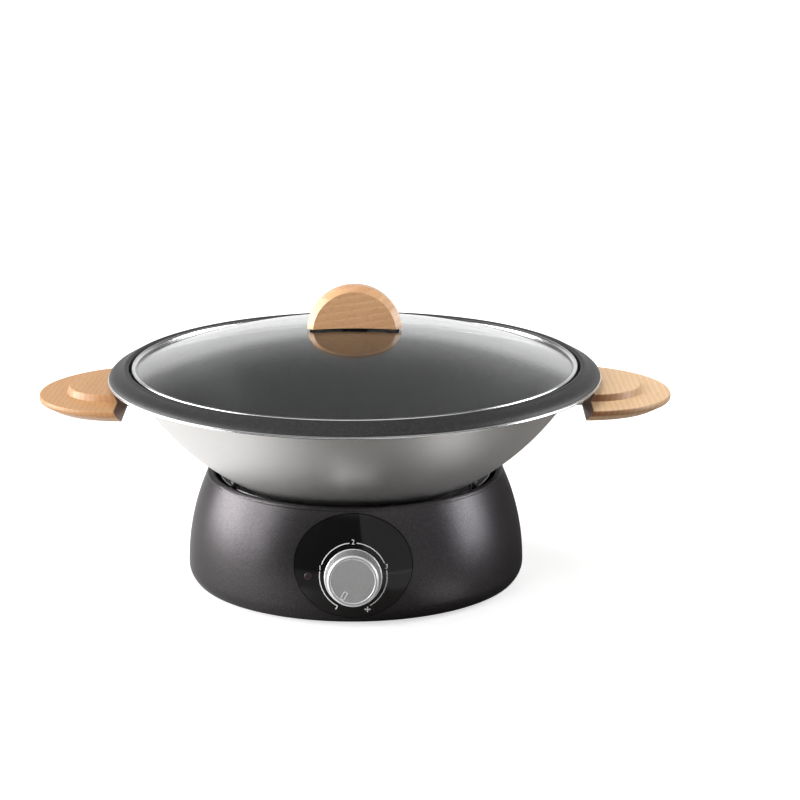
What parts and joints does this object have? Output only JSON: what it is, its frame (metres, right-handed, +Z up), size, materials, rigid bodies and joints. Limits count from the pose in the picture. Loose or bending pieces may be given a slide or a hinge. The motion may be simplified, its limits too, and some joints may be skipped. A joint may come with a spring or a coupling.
{
  "type": "electric wok",
  "caption": "Electric wok: round heated base with a thermostat dial, lift-out coated pan with wooden side handles, and a domed glass lid with a wooden knob.",
  "frame": {"origin": "on the table under the centre of the base", "axes": "+Z up; control panel and dial face -Y; side handles along X; appliance inlet at +Y"},
  "size_m": [0.455, 0.354, 0.2155],
  "materials": {
    "housing": "dark charcoal, fine fleck, satin",
    "gloss_black": "gloss black",
    "lamp_lens": "dark translucent red",
    "lamp_glass": "small neon lamp",
    "zinc_steel": "zinc-plated steel",
    "phenolic": "brown phenolic moulding",
    "brass_tab": "brass tab",
    "dish_steel": "bright aluminised steel",
    "element_steel": "dark heat-coloured sheath",
    "ceramic": "white ceramic",
    "spring_steel": "spring steel",
    "copper": "copper capillary",
    "fuse_body": "metal-cased thermal fuse",
    "plate_steel": "black coated steel",
    "black_rubber": "black rubber or silicone",
    "inlet_plastic": "black moulded inlet",
    "nickel_pin": "nickel-plated pin",
    "wire_brown": "brown insulated lead",
    "wire_blue": "blue insulated lead",
    "wire_green": "green and yellow insulated lead",
    "satin_silver": "satin silver with a bright bevel",
    "sensor_metal": "satin metal cap",
    "pan_silver": "silver outside, dark coating inside and over the rim",
    "beech": "oiled beech, fine grain",
    "clear_glass": "clear tempered glass",
    "band_steel": "bright stainless steel"
  },
  "bodies": {
    "base": {"base_shell": "housing", "control_panel": "gloss_black", "indicator_lens": "lamp_lens", "indicator_lamp": "lamp_glass", "thermostat_bracket": "zinc_steel", "thermostat_body": "phenolic", "thermostat_tabs": "brass_tab", "thermostat_screws": "zinc_steel", "reflector_dish": "dish_steel", "support_pads": "dish_steel", "heating_element": "element_steel", "element_clips": "zinc_steel", "element_bushes": "ceramic", "element_terminals": "brass_tab", "sensor_housing": "zinc_steel", "sensor_spring": "spring_steel", "capillary": "copper", "dish_pillars": "zinc_steel", "pillar_screws": "zinc_steel", "thermal_fuse": "fuse_body", "fuse_clip": "zinc_steel", "bottom_plate": "plate_steel", "bottom_screws": "zinc_steel", "rubber_feet": "black_rubber", "appliance_inlet": "inlet_plastic", "inlet_pins": "nickel_pin", "inlet_screws": "zinc_steel", "terminal_block": "ceramic", "splice_block": "ceramic", "wire_live": "wire_brown", "wire_neutral": "wire_blue", "wire_fuse": "wire_blue", "wire_earth": "wire_green", "wire_switched": "wire_brown", "wire_lamp": "wire_brown"},
    "dial": {"control_knob": "satin_silver", "thermostat_shaft": "zinc_steel"},
    "sensor": {"sensor_cap": "sensor_metal"},
    "pan": {"wok_bowl": "pan_silver", "bracket_left": "zinc_steel", "bracket_right": "zinc_steel", "bracket_studs": "zinc_steel", "bracket_nuts": "zinc_steel", "handle_screws": "zinc_steel", "handle_left": "beech", "handle_right": "beech"},
    "lid": {"lid_glass": "clear_glass", "lid_rim_band": "band_steel", "lid_knob": "beech", "knob_spacer": "black_rubber", "lid_washer": "black_rubber", "lid_screw": "band_steel"}
  },
  "joints": [
    {"name": "dial_turn", "type": "hinge", "parent": "base", "child": "dial", "pos_m": [0, -0.12037, 0.0356], "axis": [0, 0.9894, -0.1455], "range_deg": [0, 300]},
    {"name": "sensor_press", "type": "slide", "parent": "base", "child": "sensor", "axis": [0, 0, 1], "range_m": [-0.003, 0], "stiffness_N_per_m": 150, "springref_m": 0.004, "deforming": ["sensor_spring"]},
    {"name": "pan_lift", "type": "slide", "parent": "base", "child": "pan", "axis": [0, 0, 1], "range_m": [0, 0.15]},
    {"name": "lid_lift", "type": "slide", "parent": "pan", "child": "lid", "axis": [0, 0, 1], "range_m": [0, 0.25]}
  ]
}
